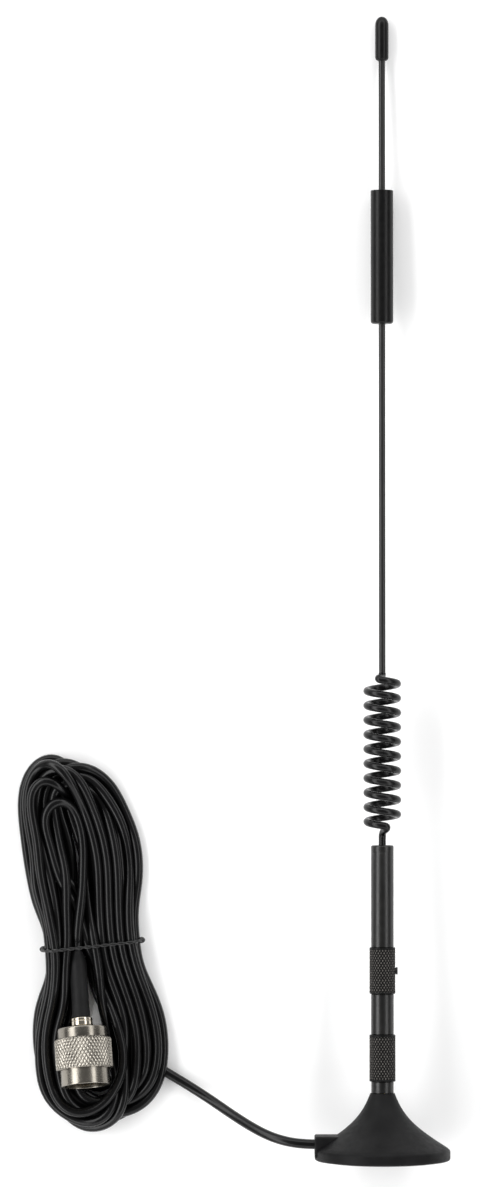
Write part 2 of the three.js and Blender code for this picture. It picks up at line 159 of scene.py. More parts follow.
# Along the bottom, up the middle, round inside the upper loop and down to the plug's boot.
LAST_PASS = [(-83.6, 11.6, 8.0), (-77.4, 11.2, 7.4), (-71.6, 14.2, 6.4), (-68.4, 20.5, 6.0),
             (-68.6, 28.0, 6.0), (-70.8, 35.0, 5.8), (-73.7, 42.0, 5.4), (-76.3, 49.0, 5.2),
             (-77.9, 55.0, 5.2), (-79.6, 60.5, 4.2), (-81.9, 65.5, 3.4), (-84.6, 70.5, 3.8),
             (-87.4, 76.5, 5.0), (-89.6, 83.0, 6.2), (-90.8, 88.5, 6.8), (-89.8, 94.2, 6.8),
             (-85.4, 97.4, 6.8), (-81.0, 94.6, 6.6), (-79.6, 88.6, 6.2), (-79.9, 81.5, 6.0),
             (-80.5, 74.5, 6.0), (-80.9, 67.5, 6.0), (-81.3, 61.0, 5.2), (-81.5, 57.5, 4.7)]
CORD_IN_BOOT = 3.0               # how far the cable's end goes into the plug's boot
TIE_MIDDLE = np.array([-77.4, 55.6, 0]) + HANK_SHIFT
TIE_TURN = math.radians(5)       # the tie lies a little askew across the waist
TIE_ALONG = np.array([math.cos(TIE_TURN), math.sin(TIE_TURN), 0])
TIE_ACROSS = np.array([-math.sin(TIE_TURN), math.cos(TIE_TURN), 0])
TIE_R = 0.5                      # the tie's twisted pair, over all
KNOB_R = 0.85                    # the bump at each end of the tie
WAIST_HALF, WAIST_HEIGHT = 11.4, 8.8      # room for the strands' centres inside the tie
WAIST_BAND = 3                   # how far from the tie's middle that room reaches
OPEN_HEIGHT = 20                 # the highest a strand goes elsewhere
HANK_EDGE = -60                  # the hank lies beyond this x, and the lead on this side of it
STEP = 1.7                       # between the points of the line while it settles
STIFFNESS = 4                    # rounds of smoothing for each round of settling
SMOOTHING = 7                    # rounds at the end, against kinks
SHARPEST = 5.6                   # bends tighter than this radius open up
ROUNDS, LAST_ROUNDS = 300, 40    # of settling, and those at the end in which nothing sinks
PUSH, SINK, HOMING = 1.2, 0.04, 0.02      # in each round: apart, down, and back to the first course
NEAR = 1.5 * CABLE_D             # points nearer than this may meet within a few rounds
LATER_ABOVE = 0.15               # how readily the later of two crossing strands goes on top


def hank_turns():
    """The turns before they settle: from the lower end up the right, over the top and down the left.
    Places round the outline run from 0 to 1."""
    outline = spline(HANK_OUTLINE, 40, closed=True)
    outline = even(np.vstack([outline, outline[:1]]), 241)[:-1]
    ahead = np.roll(outline, -1, 0) - np.roll(outline, 1, 0)
    ahead /= np.linalg.norm(ahead, axis=1)[:, None]
    inward = np.stack([-ahead[:, 1], ahead[:, 0]], 1)
    s = np.arange(len(outline)) / len(outline)
    on_right = keyed(s, [(0.0, 0), (0.11, 1), (0.42, 1), (0.53, 0)])[:, None]
    onward = eased((s - 0.84) / 0.16)[:, None]
    turns = []
    for i, (right, left) in enumerate(zip(RIGHT_SLOTS, LEFT_SLOTS)):
        after = LEFT_SLOTS[min(i + 1, len(LEFT_SLOTS) - 1)]
        start = np.where(s[:, None] < 0.5, left, np.array(left) * (1 - onward) + np.array(after) * onward)
        slot = start * (1 - on_right) + np.array(right) * on_right
        inset = CABLE_R + 0.05 + COLUMN * slot[:, 0]
        ring = np.c_[outline + inward * inset[:, None], CABLE_R + LAYER * slot[:, 1]]
        # where the outline turns too sharply for that inset, the strand cuts the corner
        gap = np.linalg.norm(ring[:, None, :2] - outline[None], axis=2).min(axis=1)
        kept = np.flatnonzero(gap > inset - 0.3)
        places = np.arange(len(ring))
        turns.append(np.stack([np.interp(places, kept, ring[kept, k]) for k in range(3)], 1))
    return np.vstack(turns) + HANK_SHIFT


# The plug's outline, a little generous: the distance along it and the radius there.
PLUG_ALONG = [-1, 0, 18, 20, 21, 31.5, 32.5, 36, 37.5]
PLUG_RADIUS = [0, 2.45, 2.5, 3.1, 7.7, 7.7, 6.7, 6.6, 0]


def plug_clearance(line):
    """How each point moves to get out of the plug: its boot, its ferrule and its coupling nut."""
    axis, start = np.array(PLUG_AXIS), np.array(PLUG_START)
    s = (line - start) @ axis
    radius = np.interp(s, PLUG_ALONG, PLUG_RADIUS)
    away = line - start - s[:, None] * axis
    far = np.maximum(np.linalg.norm(away, axis=1), 1e-6)
    short = np.where(radius > 0, np.maximum(radius + CABLE_R - far, 0), 0)
    return away / far[:, None] * short[:, None]


def opened(p, rest):
    """Which way, and how far, each point on a bend that is too tight moves."""
    bent = np.zeros_like(p)
    bent[1:-1] = (p[:-2] + p[2:]) / 2 - p[1:-1]
    tight = np.linalg.norm(bent, axis=1) > rest**2 / (2 * SHARPEST)
    return 0.5 * bent * (np.convolve(tight, np.ones(5), "same") > 0)[:, None]


def straightened(p):
    """How each point moves to spread a bend along the cable."""
    bent, bent_twice = np.zeros_like(p), np.zeros_like(p)
    bent[1:-1] = (p[:-2] + p[2:]) / 2 - p[1:-1]
    bent_twice[1:-1] = (bent[:-2] + bent[2:]) / 2 - bent[1:-1]
    return -0.25 * bent_twice


def near_pairs(p, first, second):
    """The pairs of points, out of those, that may meet within a few rounds."""
    close = np.abs(p[first, 0] - p[second, 0]) < NEAR
    a, b = first[close], second[close]
    close = (np.abs(p[a, 1:] - p[b, 1:]) < NEAR).all(axis=1)
    return a[close], b[close]


def pushed_apart(p, a, b, free):
    """How each point moves so that strands that run into each other part."""
    apart = p[b] - p[a]
    far = np.linalg.norm(apart, axis=1)
    hit = far < CABLE_D
    a, b, apart, far = a[hit], b[hit], apart[hit], np.maximum(far[hit], 1e-3)
    apart /= far[:, None]
    # strands that cross, at 12 degrees or more, pass over each other, the later one on top
    ahead = headings(p)
    square = np.cross(ahead[a], ahead[b])
    sine = np.linalg.norm(square, axis=1)
    square /= np.maximum(sine, 1e-6)[:, None]
    lean = (apart * square).sum(axis=1) + LATER_ABOVE * np.sign(square[:, 2])
    square *= np.sign(lean)[:, None]
    crossing = eased((sine - 0.2) / 0.3)[:, None]
    apart = apart * (1 - crossing) + square * crossing
    push = apart * ((CABLE_D - far) / np.maximum(free[a] + free[b], 1))[:, None]
    count = len(p)
    moved = np.stack([np.bincount(b, push[:, k], count) - np.bincount(a, push[:, k], count)
                      for k in range(3)], axis=1)
    hits = np.bincount(a, minlength=count) + np.bincount(b, minlength=count)
    return moved / np.maximum(hits, 1)[:, None] * PUSH * free[:, None]


def keep_lengths(p, rest, free):
    """Brings every other link back to its length, and then the links between."""
    for parity in (0, 1):
        i = np.arange(parity, len(p) - 1, 2)
        link = p[i + 1] - p[i]
        size = np.linalg.norm(link, axis=1)
        fix = link * ((size - rest) / size)[:, None] * 0.5
        p[i] += fix * free[i][:, None]
        p[i + 1] -= fix * free[i + 1][:, None]


def keep_inside(p, free):
    """Keeps points above the table and the tie's lower wires, and inside the tie at the waist."""
    off_tie = (p - TIE_MIDDLE) @ TIE_ACROSS
    on_hank = p[:, 0] < HANK_EDGE
    over_tie = CABLE_R + (2 * TIE_R + 0.05) * np.exp(-(off_tie / 5) ** 2)
    floor = np.where(on_hank, over_tie, CABLE_R)
    roof = np.where(np.abs(off_tie) < WAIST_BAND, WAIST_HEIGHT, OPEN_HEIGHT)
    p[:, 2] = np.where(free > 0, np.clip(p[:, 2], floor, roof), p[:, 2])
    along = (p - TIE_MIDDLE) @ TIE_ALONG
    over = (np.clip(along, -WAIST_HALF, WAIST_HALF) - along) * np.exp(-(off_tie / 6) ** 2)
    p += (over * free * on_hank)[:, None] * TIE_ALONG


def settle(line, pinned_start, pinned_end):
    """Lets a line of cable lie down: strands push each other apart, stay smooth and keep their length.
    The line stays as it is for pinned_start at its start and pinned_end at its end."""
    count = int(length_of(line) / STEP)
    p = even(line, count)
    rest = length_of(p) / (count - 1)
    for _ in range(6):
        p[1:-1] = (p[:-2] + 2 * p[1:-1] + p[2:]) / 4
    for _ in range(80):
        p += opened(p, rest)
    travelled = np.arange(count) * rest
    free = ((travelled > pinned_start) & (travelled < travelled[-1] - pinned_end)).astype(float)
    home = p.copy()
    first, second = np.triu_indices(count, math.ceil(1.9 * CABLE_D / rest))
    for turn in range(ROUNDS):
        if turn % 6 == 0:
            near = near_pairs(p, first, second)
        p += pushed_apart(p, *near, free)
        for _ in range(STIFFNESS):
            p += straightened(p) * free[:, None]
        for _ in range(3):
            p += opened(p, rest) * free[:, None]
        keep_lengths(p, rest, free)
        p[:, :2] += HOMING * (home[:, :2] - p[:, :2]) * free[:, None]
        if turn < ROUNDS - LAST_ROUNDS:
            p[:, 2] -= SINK * free
        p += plug_clearance(p) * free[:, None]
        keep_inside(p, free)
    for _ in range(SMOOTHING):
        p[1:-1] += ((p[:-2] + p[2:]) / 2 - p[1:-1]) * 0.5 * free[1:-1, None]
    return p


def cord_line():
    """The whole cable's centreline, from the boss on the base to the plug's boot."""
    lead = [tuple(EXIT + Vector((0.45, 0, 0))), tuple(EXIT)]
    lead += [(x, EXIT.y + y, z) for x, y, z in LEAD_ROUTE]
    first = [np.array(p) + HANK_SHIFT for p in FIRST_PASS]
    last = [np.array(p) + HANK_SHIFT for p in LAST_PASS]
    turns = hank_turns()
    # the turns rise one strand's thickness where the lead comes in under them
    crossing = spline(lead[-2:] + [tuple(p) for p in first[:6]])
    gap = np.linalg.norm(turns[:, None, :2] - crossing[None, :, :2], axis=2).min(axis=1)
    turns[:, 2] += CABLE_D * eased(1.4 - gap / 6)
    into_boot = [np.array(PLUG_START + PLUG_AXIS * s) for s in (-2.5, 0, CORD_IN_BOOT)]
    joined, left_off = 24, 14        # points of the first and last turn that the passes replace
    start = spline(lead + first + [turns[joined], turns[joined + 4]])
    end = spline([turns[-left_off - 4], turns[-left_off]] + last + into_boot)
    whole = np.vstack([start[:-1], turns[joined + 5:-left_off - 4], end[1:]])
    return settle(whole, length_of(np.array([tuple(p) for p in lead])) - 4, 5.0)


cord_points = spline(cord_line(), 2)


# ---- materials: each is a Principled shader whose colour, roughness and bump vary with noise ----
class Look:
    """A node material in the making. Places on the piece come from its own object coordinates."""

    def __init__(self, name):
        self.material = bpy.data.materials.new(name)
        self.material.use_nodes = True
        self.nodes, self.links = self.material.node_tree.nodes, self.material.node_tree.links
        self.shader = self.nodes["Principled BSDF"]
        self.place = self.nodes.new("ShaderNodeTexCoord").outputs["Object"]

    def node(self, kind, settings=(), **inputs):
        """A node with its inputs linked or set by name."""
        made = self.nodes.new(kind)
        for key, value in dict(settings).items():
            setattr(made, key, value)
        for key, value in inputs.items():
            socket = made.inputs[key.replace("_", " ")]
            if isinstance(value, bpy.types.NodeSocket):
                self.links.new(value, socket)
            else:
                socket.default_value = value
        return made

    def noise(self, scale, detail=3.0):
        """Noise from 0 to 1, with features of about 1/scale metres."""
        return self.node("ShaderNodeTexNoise", Vector=self.place, Scale=scale, Detail=detail,
                         Roughness=0.55).outputs["Fac"]

    def ranged(self, value, low, high, start=0.3, end=0.7):
        """value, with start to end spread over low to high."""
        made = self.node("ShaderNodeMapRange", Value=value)
        for name, number in (("From Min", start), ("From Max", end), ("To Min", low), ("To Max", high)):
            made.inputs[name].default_value = number
        return made.outputs["Result"]

    def mixed(self, share, first, second):
        """first where share is 0 and second where it is 1."""
        made = self.node("ShaderNodeMix", {"data_type": "RGBA"})
        for socket, value in ((made.inputs[0], share), (made.inputs[6], first), (made.inputs[7], second)):
            if isinstance(value, bpy.types.NodeSocket):
                self.links.new(value, socket)
            else:
                socket.default_value = value if isinstance(value, float) else (*value, 1)
        return made.outputs[2]

    def bump(self, height, depth):
        """A bump of depth metres for heights from 0 to 1."""
        return self.node("ShaderNodeBump", Height=height, Distance=depth, Strength=1.0).outputs["Normal"]

    def finish(self, colour, roughness, normal=None, **fixed):
        """The material, with its shader's inputs linked or set."""
        for name, value in (("Base Color", colour), ("Roughness", roughness), ("Normal", normal)):
            if isinstance(value, bpy.types.NodeSocket):
                self.links.new(value, self.shader.inputs[name])
            elif value is not None:
                self.shader.inputs[name].default_value = value
        for name, value in fixed.items():
            self.shader.inputs[name.replace("_", " ")].default_value = value
        return self.material


def plastic(name, dark, light, rough, grain, depth, patch=180, **fixed):
    """Moulded plastic or rubber: two close tones in patches of about 1/patch metres, a grain of
    1/grain metres and depth metres, and uneven gloss."""
    look = Look(name)
    colour = look.mixed(look.ranged(look.noise(patch), 0, 1), dark, light)
    roughness = look.ranged(look.noise(patch * 4), *rough)
    normal = look.bump(look.noise(grain, 4.0), depth)
    return look.finish(colour, roughness, normal, **fixed)


MAST_AXIS = (LAID.to_3x3() @ Vector((0, 0, 1)))[:]


def turned_metal(name, dark, light, rough, ring, depth, wear_and_highlight=None, axis=MAST_AXIS, **fixed):
    """Metal from a lathe: fine rings about its axis, with smudges. Where the mesh has a knurl attribute,
    the crests take a lighter colour: partly wear, partly a painted highlight for the glint on each crest."""
    look = Look(name)
    colour = look.mixed(look.ranged(look.noise(160), 0, 1), dark, light)
    roughness = look.ranged(look.noise(480, 4.0), *rough)
    if wear_and_highlight:
        crest = look.node("ShaderNodeAttribute", {"attribute_name": "knurl"}).outputs["Fac"]
        crest_wear_and_highlight = look.node("ShaderNodeMath", {"operation": "MULTIPLY"})
        look.links.new(look.ranged(crest, 0, 1, 0.55, 0.95), crest_wear_and_highlight.inputs[0])
        look.links.new(look.ranged(look.noise(1400), 0.35, 1.0), crest_wear_and_highlight.inputs[1])
        # crests lightened: partly wear, partly painted highlight for their glints
        colour = look.mixed(crest_wear_and_highlight.outputs[0], colour, wear_and_highlight)
    along = look.node("ShaderNodeVectorMath", {"operation": "DOT_PRODUCT"})
    look.links.new(look.place, along.inputs[0])
    along.inputs[1].default_value = axis
    rings = look.node("ShaderNodeTexNoise", {"noise_dimensions": "1D"}, W=along.outputs["Value"],
                      Scale=ring, Detail=2.0)
    normal = look.bump(rings.outputs["Fac"], depth)
    return look.finish(colour, roughness, normal, **fixed)


SHELL = plastic("moulded_black", (0.003, 0.003, 0.0033), (0.007, 0.007, 0.0073), (0.46, 0.6), 5200, 4e-5,
                Specular_IOR_Level=0.13)
SLEEVE = plastic("sleeve_black", (0.002, 0.002, 0.0022), (0.004, 0.004, 0.004), (0.28, 0.38), 1500, 1.5e-5,
                 Specular_IOR_Level=0.2)
BOOT = plastic("shrink_tube", (0.003, 0.003, 0.0033), (0.006, 0.006, 0.0063), (0.50, 0.66), 1800, 4e-5,
               Specular_IOR_Level=0.2)
PVC = plastic("cable_jacket", (0.002, 0.002, 0.0022), (0.004, 0.004, 0.0042), (0.2, 0.27), 420, 4e-6,
              Specular_IOR_Level=0.24)
TIE = plastic("tie_plastic", (0.004, 0.004, 0.0042), (0.007, 0.007, 0.007), (0.3, 0.4), 900, 8e-6)
PAD = plastic("pad_rubber", (0.008, 0.008, 0.0085), (0.015, 0.015, 0.015), (0.65, 0.8), 3000, 8e-5)
NYLON = plastic("nylon", (0.62, 0.61, 0.57), (0.74, 0.73, 0.69), (0.38, 0.5), 1500, 2e-5)
SEAL = plastic("seal_rubber", (0.20, 0.028, 0.018), (0.28, 0.045, 0.028), (0.5, 0.62), 2200, 3e-5)
FERRITE = plastic("ferrite", (0.045, 0.045, 0.048), (0.085, 0.085, 0.09), (0.6, 0.78), 3500, 6e-5)
WIRE = plastic("coil_wire", (0.002, 0.002, 0.0022), (0.004, 0.004, 0.0042), (0.24, 0.31), 600, 4e-6,
               Specular_IOR_Level=0.26)
MAST = turned_metal("mast_enamel", (0.002, 0.002, 0.0021), (0.005, 0.0046, 0.0042), (0.28, 0.38), 9000, 6e-6)
# The collars' light crest colour is partly wear and partly a painted highlight for the knurl's glinting dots.
COLLAR = turned_metal("collar_enamel", (0.002, 0.002, 0.002), (0.004, 0.004, 0.004), (0.34, 0.46), 7000,
                      8e-6, wear_and_highlight=(0.13, 0.122, 0.112), Specular_IOR_Level=0.14)
STEEL = turned_metal("zinc_steel", (0.33, 0.34, 0.35), (0.47, 0.47, 0.47), (0.3, 0.45), 5000, 1.5e-5,
                     Metallic=1.0)
SCREW = turned_metal("screw_steel", (0.035, 0.035, 0.036), (0.065, 0.064, 0.062), (0.3, 0.42), 6000, 1.5e-5,
                     Metallic=0.7)
BRASS = turned_metal("brass", (0.60, 0.42, 0.16), (0.74, 0.54, 0.24), (0.22, 0.36), 6000, 1.2e-5,
                     Metallic=1.0)
NICKEL = turned_metal("nickel_plate", (0.50, 0.45, 0.37), (0.62, 0.57, 0.48), (0.1, 0.17), 6500, 4e-6,
                      axis=PLUG_AXIS[:], Metallic=1.0)
# Knurled nickel: painted darker than the plain nickel as painted shade between the crests; the crests are
# painted lighter as a painted highlight.
NICKEL_KNURL = turned_metal("nickel_knurl", (0.20, 0.185, 0.16), (0.28, 0.26, 0.225), (0.2, 0.3), 6500, 4e-6,
                            wear_and_highlight=(0.76, 0.72, 0.64), axis=PLUG_AXIS[:], Metallic=1.0)


# ---- mesh making ----
def to_object(name, verts, faces, look, place=Matrix.Identity(4), sharp=40, **attributes):
    """A mesh object from millimetres in the frame `place`. attributes are values for its points."""
    verts = np.asarray(verts) @ np.array(place.to_3x3()).T + np.array(place.translation)
    mesh = bpy.data.meshes.new(name)
    mesh.from_pydata((verts * MM).tolist(), [], [list(f) for f in faces])
    for key, values in attributes.items():
        mesh.attributes.new(key, "FLOAT", "POINT").data.foreach_set("value", np.asarray(values, np.float32))
    shaded(mesh, sharp)
    mesh.materials.append(look)
    made = bpy.data.objects.new(name, mesh)
    bpy.context.scene.collection.objects.link(made)
    return made


def shaded(mesh, sharp):
    """Faces outwards, and smooth but for edges sharper than that angle."""
    made = bmesh.new()
    made.from_mesh(mesh)
    bmesh.ops.recalc_face_normals(made, faces=made.faces)
    made.to_mesh(mesh)
    made.free()
    mesh.shade_smooth()
    mesh.set_sharp_from_angle(angle=math.radians(sharp))


def fixed_to(made, body, slot, *nodes):
    """Makes a piece ride on a body in place of those CAD nodes, which it hides. slot is not used."""
    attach(made, body)
    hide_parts(*nodes)
    return made


CORNER_STEPS = 5


def rounded(outline):
    """(radius, height[, rounding]) corners, as a finer outline with the corners rounded."""
    points = [(np.array(p[:2], float), p[2] if len(p) > 2 else 0) for p in outline]
    out = []
    for i, (corner, round_by) in enumerate(points):
        if not round_by:
            out.append(corner)
            continue
        sides = []
        for other in (points[i - 1][0], points[(i + 1) % len(points)][0]):
            away = other - corner
            size = np.linalg.norm(away)
            sides.append((away / size, min(round_by, 0.45 * size)))
        (a, back), (b, on) = sides
        first, last = corner + a * back, corner + b * on
        out.append(corner + a * back * 1.1)
        for t in np.linspace(0, 1, CORNER_STEPS + 1):
            out.append(first * (1 - t)**2 + corner * 2 * t * (1 - t) + last * t * t)
        out.append(corner + b * on * 1.1)
    return np.array(out)


def capped(points):
    """Rounds an open run of outline points whose ends stay as they are."""
    return rounded([(*p[:2],) if i in (0, len(points) - 1) else p for i, p in enumerate(points)])


def lathe(name, outline, look, place=LAID, around=96, relief=None, sharp=40):
    """A turned piece. The outline runs from axis to axis, or closes on itself. relief gives, for radius,
    height and angle arrays, how far each point moves inwards and its knurl value."""
    outline = np.asarray(outline, float)
    angle = np.arange(around) / around * TAU
    solid = outline[0, 0] == 0 and outline[-1, 0] == 0
    rings = outline[1:-1] if solid else outline
    radius, height = [np.repeat(rings[:, k][:, None], around, 1) for k in (0, 1)]
    turn = np.repeat(angle[None, :], len(rings), 0)
    crest = np.zeros_like(radius)
    if relief:
        sink, crest = relief(radius, height, turn)
        radius = radius - sink
    verts = np.stack([radius * np.cos(turn), radius * np.sin(turn), height], -1).reshape(-1, 3)
    faces = []
    for i in range(len(rings) - (1 if solid else 0)):
        low, high = i * around, (i + 1) % len(rings) * around
        faces += [(low + k, low + (k + 1) % around, high + (k + 1) % around, high + k) for k in range(around)]
    crest = crest.ravel()
    if solid:
        ends = [len(verts), len(verts) + 1]
        verts = np.vstack([verts, [[0, 0, outline[0, 1]], [0, 0, outline[-1, 1]]]])
        crest = np.r_[crest, 0, 0]
        last = (len(rings) - 1) * around
        faces += [(ends[0], (k + 1) % around, k) for k in range(around)]
        faces += [(ends[1], last + k, last + (k + 1) % around) for k in range(around)]
    attributes = {"knurl": crest} if relief else {}
    return to_object(name, verts, faces, look, place, sharp, **attributes)


def dense(radius, low, high, step):
    """Outline points of a straight side, close enough for relief."""
    return [(radius, h) for h in np.linspace(low, high, max(2, round(abs(high - low) / step)))]


KNURL_FADE = 0.35                # how far a knurl takes to reach its full depth at its ends


def diamond_knurl(low, high, count, pitch, depth, outer, flat=0.62):
    """Relief of a diamond knurl between two heights on the outer surface. Each of its two sets of grooves
    has count starts and moves up by pitch from one groove to the next."""
    def relief(radius, height, turn):
        a = turn / TAU * count + height / pitch
        b = turn / TAU * count - height / pitch
        groove = np.maximum(np.abs(a % 1 - 0.5), np.abs(b % 1 - 0.5)) * 2
        crest = np.clip((1 - groove) / flat, 0, 1)
        inside = np.minimum(height - low, high - height) / KNURL_FADE
        band = eased(inside) * (radius > outer - 0.02)
        return depth * (1 - crest) * band, crest * band
    return relief


def thread(low, high, pitch, depth, radius, inward=False):
    """Relief of a screw thread between two heights at that radius, or of a nut's thread if inward."""
    def relief(r, height, turn):
        wave = np.abs((height / pitch - turn / TAU) % 1 - 0.5) * 2
        band = eased(np.minimum(height - low, high - height) / (0.5 * pitch)) * (np.abs(r - radius) < 0.02)
        cut = depth * np.clip(wave * 1.25 - 0.1, 0, 1) * band
        return (-cut if inward else cut), np.zeros_like(r)
    return relief


def tube(name, line, radius, look, place=Matrix.Identity(4), sides=14):
    """A closed round tube along a line."""
    line = np.asarray(line, float)
    ahead = headings(line)
    across = np.cross(ahead[0], (0.3, 0.9, 0.1))
    verts = []
    angle = np.arange(sides) / sides * TAU
    for point, along in zip(line, ahead):
        across = across - along * (across @ along)
        across /= np.linalg.norm(across)
        third = np.cross(along, across)
        verts.append(point + radius * (np.cos(angle)[:, None] * across + np.sin(angle)[:, None] * third))
    verts = np.vstack(verts)
    last = (len(line) - 1) * sides
    faces = [(low + k, low + (k + 1) % sides, low + sides + (k + 1) % sides, low + sides + k)
             for low in range(0, last, sides) for k in range(sides)]
    faces += [tuple(range(sides))[::-1], tuple(range(last, last + sides))]
    return to_object(name, verts, faces, look, place, sharp=60)


# ---- cord ----
def curve_cord(name, line, look):
    """A round cable along a line, as a curve object."""
    data = bpy.data.curves.new(name, "CURVE")
    data.dimensions = "3D"
    run = data.splines.new("POLY")
    run.points.add(len(line) - 1)
    run.points.foreach_set("co", np.c_[line * MM, np.ones(len(line))].ravel())
    run.use_smooth = True
    data.bevel_depth = CABLE_R * MM
    data.bevel_resolution = 4
    data.use_fill_caps = True
    data.materials.append(look)
    made = bpy.data.objects.new(name, data)
    bpy.context.scene.collection.objects.link(made)
    return made


cable = fixed_to(curve_cord("cable", cord_points, PVC), "base", "cable_pvc", "cable_lead", "cable_hank")


# ---- the tie: a twisted pair drawn tight round the waist ----
def hull(points):
    """Convex hull of points in a plane, anticlockwise."""
    points = sorted(map(tuple, points))
    out = []
    for run in (points, points[::-1]):
        side = []
        for p in run:
            while len(side) > 1 and np.cross(np.subtract(side[-1], side[-2]), np.subtract(p, side[-1])) <= 0:
                side.pop()
            side.append(p)
        out += side[:-1]
    return np.array(out)


def tie_loop():
    """The tie's path round the strands that pass through its plane."""
    off = (cord_points - TIE_MIDDLE) @ TIE_ACROSS
    crossed = np.flatnonzero(off[:-1] * off[1:] < 0)
    share = (off[crossed] / (off[crossed] - off[crossed + 1]))[:, None]
    centres = cord_points[crossed] * (1 - share) + cord_points[crossed + 1] * share
    centres = centres[centres[:, 2] < 12]
    flat = np.c_[(centres - TIE_MIDDLE) @ TIE_ALONG, centres[:, 2]]
    angle = np.arange(24) / 24 * TAU
    circle = np.stack([np.cos(angle), np.sin(angle)], 1) * (CABLE_R + TIE_R)
    loop = hull((flat[:, None] + circle[None]).reshape(-1, 2))
    loop = even(np.vstack([loop, loop[:1]]), 180)[:-1]
    for _ in range(8):
        loop = (np.roll(loop, 1, 0) + 2 * loop + np.roll(loop, -1, 0)) / 4
    loop[:, 1] = np.maximum(loop[:, 1], TIE_R + 0.02)
    return TIE_MIDDLE * (1, 1, 0) + loop[:, :1] * TIE_ALONG + loop[:, 1:] * np.array([0, 0, 1.0])


TWIST_PITCH, TWIST_STEP = 4.5, 0.22


def twisted(name, line, wire_r, look):
    """Two wires twisted about a line."""
    line = even(line, int(length_of(line) / TWIST_STEP))
    ahead = headings(line)
    side = np.cross(ahead, TIE_ACROSS)
    side /= np.linalg.norm(side, axis=1)[:, None]
    third = np.cross(ahead, side)
    phase = np.arange(len(line)) * TWIST_STEP / TWIST_PITCH * TAU
    made = []
    for k in (0, 1):
        a = (phase + k * math.pi)[:, None]
        made.append(tube(f"{name}_{k + 1}", line + wire_r * (np.cos(a) * side + np.sin(a) * third),
                         wire_r, look, sides=10))
    return made


loop = tie_loop()
right = int(np.argmax((loop - TIE_MIDDLE) @ TIE_ALONG))
loop = np.roll(loop, -right, 0)
loop = np.vstack([loop, loop[:6]])
for piece in twisted("tie_wire", loop, TIE_R / 2, TIE):
    fixed_to(piece, "base", "tie_black", "hank_tie")

angle = np.linspace(-math.pi / 2, math.pi / 2, 12)
knob_outline = np.stack([KNOB_R * np.cos(angle), 1.2 * KNOB_R * np.sin(angle)], 1)
along_tie = Matrix.Rotation(TIE_TURN, 4, "Z") @ Matrix.Rotation(math.pi / 2, 4, "Y")
for number, end in enumerate((loop[0], loop[np.argmin((loop - TIE_MIDDLE) @ TIE_ALONG)])):
    knob = lathe(f"tie_knob_{number + 1}", knob_outline, TIE, Matrix.Translation(end) @ along_tie, 24)
    fixed_to(knob, "base", "tie_black", "hank_tie")


# ---- base ----
# The flare from the rim up to the neck is one cubic curve, given by its ends and its handles.
FLARE = np.array([(17.9, 3.2), (8.62, 9.0), (5.64, 11.75), (3.25, 18.05)])
BOSS_LOW, BOSS_HIGH = np.array([BOSS_FACE, -4.5, 1.2]), np.array([-4.0, 4.5, 6.87])
BOSS_ROUNDING = 0.45


def flare(steps):
    """Outline points on the flare."""
    t = np.linspace(0, 1, steps)[:, None]
    a, b, c, d = FLARE
    return a * (1 - t)**3 + 3 * b * t * (1 - t)**2 + 3 * c * t * t * (1 - t) + d * t**3


def combined(target, tool, operation):
    """Boolean of two objects, applied to the first; the tool is removed."""
    modifier = target.modifiers.new("cut", "BOOLEAN")
    modifier.operation, modifier.object, modifier.solver = operation, tool, "EXACT"
    graph = bpy.context.evaluated_depsgraph_get()
    mesh = bpy.data.meshes.new_from_object(target.evaluated_get(graph))
    target.modifiers.clear()
    target.data = mesh
    bpy.data.objects.remove(tool)
    shaded(mesh, 35)


def boss():
    """The block that the cable enters, with its edges rounded."""
    made = bmesh.new()
    bmesh.ops.create_cube(made, size=1)
    for v in made.verts:
        v.co = Vector((BOSS_LOW + BOSS_HIGH) / 2 + (BOSS_HIGH - BOSS_LOW) * np.array(v.co))
    outer = [e for e in made.edges if min(v.co.x for v in e.verts) < -10]
    bmesh.ops.bevel(made, geom=outer, offset=BOSS_ROUNDING, segments=3, affect="EDGES", profile=0.5)
    for v in made.verts:
        v.co = LAID @ v.co * MM
    mesh = bpy.data.meshes.new("boss")
    made.to_mesh(mesh)
    made.free()
    block = bpy.data.objects.new("boss", mesh)
    bpy.context.scene.collection.objects.link(block)
    return block


shell_outline = np.vstack([
    rounded([(1.95, 18.05), (1.95, 7.4), (9.0, 6.4), (9.4, 4.6), (14.0, 4.2), (15.7, 2.7), (15.7, 0.3),
             (RIM_R, 0.3, 0.8), (RIM_R, RIM_TOP, 0.5), tuple(flare(30)[1])])[:-1],
    flare(44)[1:]])
shell = lathe("base_body", shell_outline, SHELL, around=180)
combined(shell, boss(), "UNION")
along_x = LAID @ Matrix.Translation((0, 0, CABLE_HEIGHT)) @ Matrix.Rotation(math.pi / 2, 4, "Y")
bore = lathe("bore", [(0, -19), (1.9, -19), (1.9, -8.5), (0, -8.5)], SHELL, along_x, 48)
combined(shell, bore, "DIFFERENCE")
fixed_to(shell, "base", "shell_black", "base_shell")

pad = lathe("base_foot", rounded([(0, 0.5), (15.4, 0.5), (15.4, 0, 0.15), (0, 0)]), PAD)
fixed_to(pad, "base", "pad_rubber", "base_pad")
grommet = lathe("grommet", rounded([(1.32, -17.95, 0.1), (1.85, -17.95, 0.1), (1.85, -15.7), (1.32, -15.7)]),
                PAD, along_x, 48)
fixed_to(grommet, "base", "pad_rubber", "cable_grommet")
bush = lathe("neck", rounded([(1.9, 18.15), (2.97, 18.15, 0.15), (2.97, 21.16, 0.15), (1.9, 21.16)]), MAST)
fixed_to(bush, "base", "mast_black", "neck_bush")

